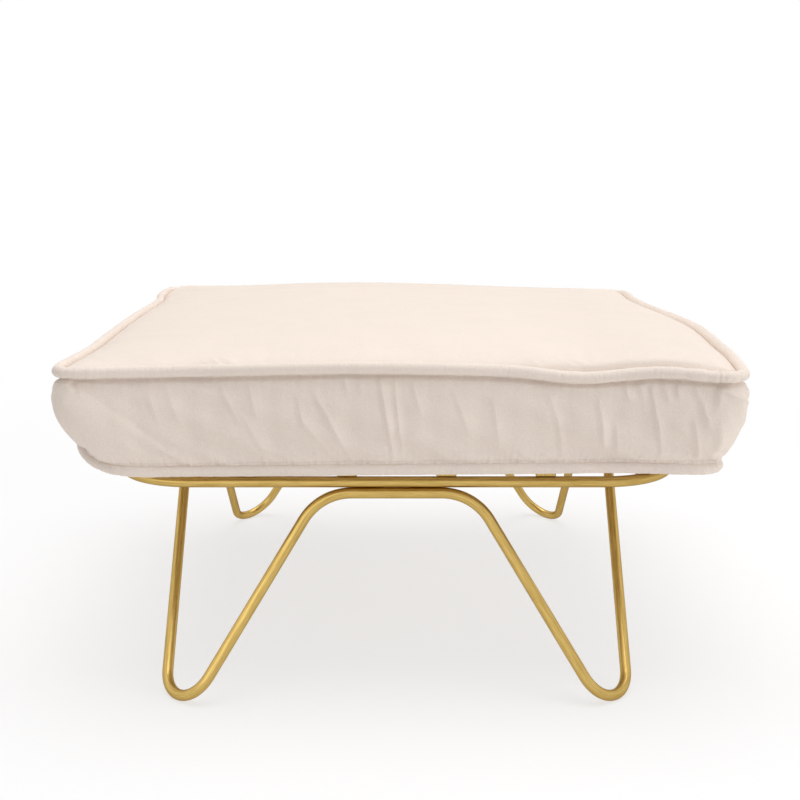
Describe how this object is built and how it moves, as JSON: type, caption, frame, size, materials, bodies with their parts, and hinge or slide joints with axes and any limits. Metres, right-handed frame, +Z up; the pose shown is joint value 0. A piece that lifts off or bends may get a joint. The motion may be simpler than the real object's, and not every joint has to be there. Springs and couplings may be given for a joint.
{
  "type": "footstool",
  "caption": "Low square footstool: a bent round-rod frame with hairpin feet and flat seat straps, and a loose boxed cushion with piped edges that lifts off.",
  "frame": {"origin": "on the floor under the middle of the seat", "axes": "+Z up, front towards -Y, zip at the back towards +Y"},
  "size_m": [0.59, 0.6066, 0.3121],
  "materials": {
    "gold_steel": "gold lacquer baked on smooth steel, soft satin gloss",
    "weld_steel": "the same lacquer over rippled weld beads",
    "velvet": "short-pile cotton velvet in pale peach, matt with a soft sheen",
    "cord_cotton": "raw cotton piping cord",
    "foam": "open-cell upholstery foam",
    "fibre": "bonded polyester wadding",
    "zip_tape": "woven polyester zip tape",
    "zip_nylon": "nylon zip coil",
    "zip_metal": "nickel-plated zinc"
  },
  "bodies": {
    "frame": {"seat_ring": "gold_steel", "base_rod_front": "gold_steel", "base_rod_rear": "gold_steel", "strap_1": "gold_steel", "strap_2": "gold_steel", "strap_3": "gold_steel", "strap_4": "gold_steel", "strap_5": "gold_steel", "strap_6": "gold_steel", "ring_joint_weld": "weld_steel", "base_joint_weld_left": "weld_steel", "base_joint_weld_right": "weld_steel", "strap_weld_front_1": "weld_steel", "strap_weld_front_2": "weld_steel", "strap_weld_front_3": "weld_steel", "strap_weld_front_4": "weld_steel", "strap_weld_front_5": "weld_steel", "strap_weld_front_6": "weld_steel", "strap_weld_rear_1": "weld_steel", "strap_weld_rear_2": "weld_steel", "strap_weld_rear_3": "weld_steel", "strap_weld_rear_4": "weld_steel", "strap_weld_rear_5": "weld_steel", "strap_weld_rear_6": "weld_steel", "run_weld_front_left": "weld_steel", "run_weld_front_right": "weld_steel", "run_weld_rear_left": "weld_steel", "run_weld_rear_right": "weld_steel", "side_weld_front_left": "weld_steel", "side_weld_front_right": "weld_steel", "side_weld_rear_left": "weld_steel", "side_weld_rear_right": "weld_steel"},
    "cushion": {"cover_top_panel": "velvet", "cover_bottom_panel": "velvet", "side_band": "velvet", "zip_band_upper": "velvet", "zip_band_lower": "velvet", "top_piping": "velvet", "top_piping_cord": "cord_cotton", "bottom_piping": "velvet", "bottom_piping_cord": "cord_cotton", "top_wadding": "fibre", "foam_core": "foam", "zip_tape_upper": "zip_tape", "zip_tape_lower": "zip_tape", "zip_coil": "zip_nylon", "zip_stop_left": "zip_metal", "zip_stop_right": "zip_metal"},
    "zip_slider": {"zip_slider": "zip_metal"},
    "zip_pull": {"zip_pull": "zip_metal"}
  },
  "joints": [
    {"name": "cushion_lift", "type": "slide", "parent": "frame", "child": "cushion", "axis": [0, 0, 1], "range_m": [0, 0.2]},
    {"name": "zip_slide", "type": "slide", "parent": "cushion", "child": "zip_slider", "axis": [-1, 0, 0], "range_m": [0, 0.3]},
    {"name": "zip_pull_swing", "type": "hinge", "parent": "zip_slider", "child": "zip_pull", "pos_m": [0.1515, 0.2861, 0.2566], "axis": [0, 0, -1], "range_deg": [0, 170]}
  ]
}
